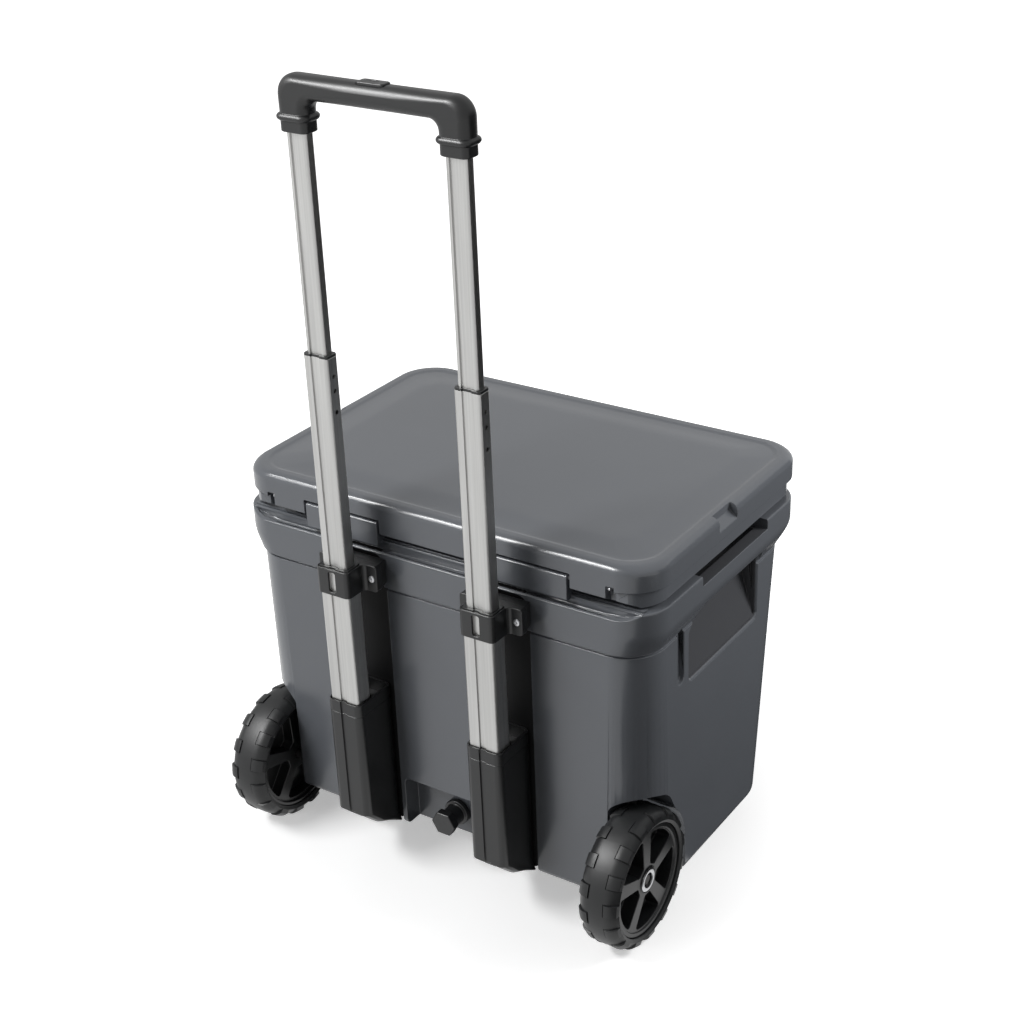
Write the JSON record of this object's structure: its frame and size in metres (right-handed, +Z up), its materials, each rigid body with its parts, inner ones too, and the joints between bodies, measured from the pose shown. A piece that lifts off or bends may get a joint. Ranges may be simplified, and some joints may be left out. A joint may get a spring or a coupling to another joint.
{
  "type": "wheeled cooler",
  "caption": "Hard-sided insulated cooler on wheels with a hinged lid, two-stage telescopic pull handle, side grips, drain plug and front latches.",
  "frame": {"origin": "middle of the cooler's overall width and depth, on the ground", "axes": "+X to the right seen from behind the handle, +Y from the handle towards the latches at the front, +Z up"},
  "size_m": [0.6, 0.4918, 1.0285],
  "materials": {
    "tub_plastic": "satin moulded charcoal",
    "black_plastic": "satin moulded black",
    "foam": "rigid insulating foam, sealed inside",
    "soft_rubber": "matt",
    "tyre_rubber": "matt moulded",
    "tube_aluminium": "satin, brushed lengthwise",
    "bright_steel": "satin"
  },
  "bodies": {
    "tub": {"tub_skin": "tub_plastic", "tub_foam": "foam", "tub_fill_plug": "black_plastic", "drain_gasket": "soft_rubber", "hinge_pin_left": "bright_steel", "handle_rail_left": "black_plastic", "socket_left": "black_plastic", "tube_clamp_left": "black_plastic", "clamp_bracket_left": "black_plastic", "clamp_screw_left_inner": "bright_steel", "clamp_screw_left_outer": "bright_steel", "outer_tube_left": "tube_aluminium", "outer_bushing_left": "black_plastic", "axle_left": "bright_steel", "foot_left": "soft_rubber", "hinge_pin_right": "bright_steel", "handle_rail_right": "black_plastic", "socket_right": "black_plastic", "tube_clamp_right": "black_plastic", "clamp_bracket_right": "black_plastic", "clamp_screw_right_inner": "bright_steel", "clamp_screw_right_outer": "bright_steel", "outer_tube_right": "tube_aluminium", "outer_bushing_right": "black_plastic", "axle_right": "bright_steel", "foot_right": "soft_rubber"},
    "lid": {"lid_skin": "tub_plastic", "lid_foam": "foam", "lid_fill_plug": "black_plastic", "lid_gasket": "soft_rubber", "latch_pin_left": "bright_steel", "latch_pin_right": "bright_steel"},
    "latch_left": {"latch_left": "soft_rubber"},
    "latch_right": {"latch_right": "soft_rubber"},
    "middle_stage": {"middle_tube_left": "tube_aluminium", "middle_tube_right": "tube_aluminium", "middle_bushing_left": "black_plastic", "middle_bushing_right": "black_plastic"},
    "upper_stage": {"upper_tube_left": "tube_aluminium", "upper_tube_right": "tube_aluminium", "grip": "black_plastic", "button_spring": "bright_steel"},
    "button": {"release_button": "black_plastic"},
    "wheel_left": {"tyre_left": "tyre_rubber", "hub_left": "black_plastic", "hub_ring_left": "bright_steel"},
    "wheel_right": {"tyre_right": "tyre_rubber", "hub_right": "black_plastic", "hub_ring_right": "bright_steel"},
    "drain": {"drain_plug": "black_plastic"}
  },
  "joints": [
    {"name": "lid_hinge", "type": "hinge", "parent": "tub", "child": "lid", "pos_m": [0, -0.156, 0.4754], "axis": [1, 0, 0], "range_deg": [0, 90]},
    {"name": "middle_slide", "type": "slide", "parent": "tub", "child": "middle_stage", "axis": [0, 0, -1], "range_m": [0, 0.27]},
    {"name": "upper_slide", "type": "slide", "parent": "middle_stage", "child": "upper_stage", "axis": [0, 0, -1], "range_m": [0, 0.25]},
    {"name": "button_press", "type": "slide", "parent": "upper_stage", "child": "button", "axis": [0, 0, -1], "range_m": [0, 0.005], "stiffness_N_per_m": 400, "springref_m": -0.002, "deforming": ["button_spring"]},
    {"name": "wheel_left_spin", "type": "hinge", "parent": "tub", "child": "wheel_left", "pos_m": [-0.26835, -0.157, 0.0889], "axis": [1, 0, 0], "continuous": true},
    {"name": "wheel_right_spin", "type": "hinge", "parent": "tub", "child": "wheel_right", "pos_m": [0.26835, -0.157, 0.0889], "axis": [1, 0, 0], "continuous": true},
    {"name": "drain_turn", "type": "hinge", "parent": "tub", "child": "drain", "pos_m": [0, -0.163, 0.075], "axis": [0, 1, 0], "range_deg": [0, 360]},
    {"name": "latch_left_swing", "type": "hinge", "parent": "lid", "child": "latch_left", "pos_m": [-0.165, 0.2379, 0.4895], "axis": [1, 0, 0], "range_deg": [0, 100]},
    {"name": "latch_right_swing", "type": "hinge", "parent": "lid", "child": "latch_right", "pos_m": [0.165, 0.2379, 0.4895], "axis": [1, 0, 0], "range_deg": [0, 100]}
  ]
}
